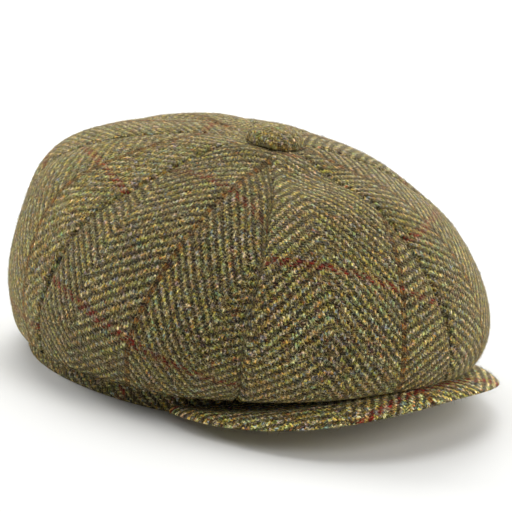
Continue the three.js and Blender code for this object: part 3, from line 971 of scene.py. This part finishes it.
def top_button():
    """A dome from the middle of its top, round its widest place, to the middle of its underside."""
    shape, column, row = grid_of(BUTTON_COLUMNS, BUTTON_ROWS)
    around = np.linspace(0, math.tau, BUTTON_COLUMNS + 1)[None]
    bend = np.linspace(0, 1, BUTTON_ROWS + 1)[:, None] * math.pi
    radius = BUTTON_DIAMETER / 2 * np.sin(bend) ** BUTTON_FLATNESS
    level = np.abs(np.cos(bend))
    above = BUTTON_EDGE + (1 - BUTTON_EDGE) * level**DOME
    below = BUTTON_EDGE * (1 - level**HOLLOW)
    up = np.where(bend < math.pi / 2, above, below)
    pleats = PLEAT * np.sin(around * PLEATS + PLEAT_SWAY * np.sin(around * 2))
    radius = radius + pleats * np.exp(-((bend - PLEAT_PLACE) ** 2) / PLEAT_SPREAD)
    x = radius * np.sin(around)
    y = BUTTON_Y - radius * np.cos(around)
    seat = np.stack([seat_height(a, r) for a, r in zip(around[0], radius.T)], -1)
    points = np.stack([x, y, seat + CLEARANCE + up * BUTTON_HEIGHT], -1)
    steps = np.linalg.norm(np.diff(points[:, 0], axis=0), axis=-1)
    reached = np.concatenate([[0], np.cumsum(steps)])[:, None]
    warp = reached * np.sin(around + BUTTON_GRAIN) + BUTTON_WARP
    weft = -reached * np.cos(around + BUTTON_GRAIN) + BUTTON_WEFT
    lay(shape, column, row, points, warp, weft)
    closed_up(shape)
    showing = points[: int(BUTTON_ROWS * BUTTON_SHOWING)]
    raise_fibres("button", showing, (0, BUTTON_Y, CROWN_HEIGHT), BUTTON_SEED)
    finished(shape, "tweed_button", "top_button", [TWEED_BUTTON_PAINTED_LIGHT])


top_button()

# Floor, light and camera, in metres
FLOOR_HALF = 30.0


def pale_floor():
    """Background paper, matt: white with no gloss, so that it shows only the cap's soft shadow."""
    shape = bmesh.new()
    bmesh.ops.create_grid(shape, x_segments=1, y_segments=1, size=FLOOR_HALF)
    mesh = bpy.data.meshes.new("floor")
    shape.to_mesh(mesh)
    shape.free()
    material, tree = bare_material("studio_paper_matt")
    surface = add_node(tree, PRINCIPLED, {"Base Color": linear("#e2e2e0"), "Roughness": 0.9})
    add_node(tree, "ShaderNodeOutputMaterial", {0: surface})
    mesh.materials.append(material)
    floor = bpy.data.objects.new("floor", mesh)
    bpy.context.scene.collection.objects.link(floor)


pale_floor()

# Round soft lights: name, place, height that they are aimed at, diameter, watts
LIGHTS = [
    ("overhead", (0.1, 0.3, 1.9), 0.06, 2.0, 29),
    ("back_left", (-0.7, 1.8, 0.9), 0.06, 1.0, 33),
    ("right", (1.75, -0.7, 0.2), 0.05, 1.0, 26),
    ("back_right", (1.6, 0.9, 0.5), 0.05, 1.0, 26),
    ("front", (-0.2, -1.6, 1.3), 0.05, 1.0, 13),
]
for name, place, aim, diameter, watts in LIGHTS:
    lamp = bpy.data.lights.new(name, "AREA")
    lamp.shape = "DISK"
    lamp.size = diameter
    lamp.energy = watts
    light = bpy.data.objects.new(name, lamp)
    light.location = place
    light.rotation_mode = "QUATERNION"
    heading = Vector((0, 0, aim)) - Vector(place)
    light.rotation_quaternion = heading.to_track_quat("-Z", "Y")
    bpy.context.scene.collection.objects.link(light)

world = bpy.data.worlds.new("studio")
world.use_nodes = True
daylight = world.node_tree.nodes["Background"]
daylight.inputs["Color"].default_value = linear("#f6f7f8")
daylight.inputs["Strength"].default_value = 0.3
bpy.context.scene.world = world
bpy.context.scene.view_settings.view_transform = "Standard"

AZIMUTH, ELEVATION, ROLL = math.radians(-47.5), math.radians(16), math.radians(-4.7)
AIM = Vector((0, -0.02, 0.06))
AIM_PIXEL = (253, 259.5)  # where AIM stands in the picture
DISTANCE = 1.55
PIXELS_PER_METRE = 2000.0
PICTURE = 512
SENSOR = 36  # mm


def set_camera():
    """The camera that took the photo, as its outline and seams place it."""
    back = Vector((
        math.sin(AZIMUTH) * math.cos(ELEVATION),
        -math.cos(AZIMUTH) * math.cos(ELEVATION),
        math.sin(ELEVATION),
    ))
    right = Vector((math.cos(AZIMUTH), math.sin(AZIMUTH), 0))
    up = back.cross(right)
    across = right * math.cos(ROLL) - up * math.sin(ROLL)
    upward = right * math.sin(ROLL) + up * math.cos(ROLL)
    data = bpy.data.cameras.new("camera")
    camera = bpy.data.objects.new("camera", data)
    turn = Matrix((across, upward, back)).transposed().to_4x4()
    camera.matrix_world = Matrix.Translation(AIM + back * DISTANCE) @ turn
    data.sensor_width = SENSOR
    data.lens = SENSOR * PIXELS_PER_METRE * DISTANCE / PICTURE
    data.shift_x = (PICTURE / 2 - AIM_PIXEL[0]) / PICTURE
    data.shift_y = (AIM_PIXEL[1] - PICTURE / 2) / PICTURE
    bpy.context.scene.collection.objects.link(camera)
    bpy.context.scene.camera = camera


set_camera()
